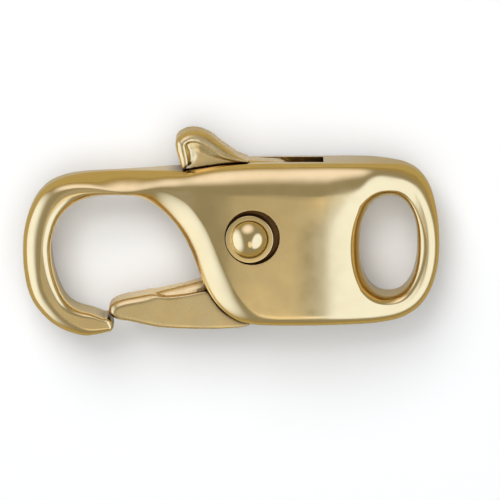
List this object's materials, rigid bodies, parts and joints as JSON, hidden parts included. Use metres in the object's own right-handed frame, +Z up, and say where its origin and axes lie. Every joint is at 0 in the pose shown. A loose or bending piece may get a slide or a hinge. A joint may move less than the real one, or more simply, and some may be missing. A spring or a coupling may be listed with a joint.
{
  "type": "lobster clasp",
  "caption": "Cast jewellery clasp with a hook, a sprung trigger gate on a rivet, a thumb piece and an oval eye for a jump ring.",
  "frame": {"origin": "centre of the base of the clasp's box, on the surface that it lies on", "axes": "+X from the hook to the eye, +Y to the thumb piece, +Z up through the clasp's thickness, to the side with the rivet's dome"},
  "size_m": [0.015, 0.0074, 0.0034],
  "materials": {
    "polished_gold": "polished"
  },
  "bodies": {
    "clasp_body": {"hook_body": "polished_gold", "pivot_rivet": "polished_gold"},
    "lever": {"trigger_lever": "polished_gold"}
  },
  "joints": [
    {"name": "trigger", "type": "hinge", "parent": "clasp_body", "child": "lever", "pos_m": [0.00066, -0.00007, 0.0015], "axis": [0, 0, -1], "range_deg": [0, 25], "stiffness_Nm_per_rad": 0.01}
  ]
}
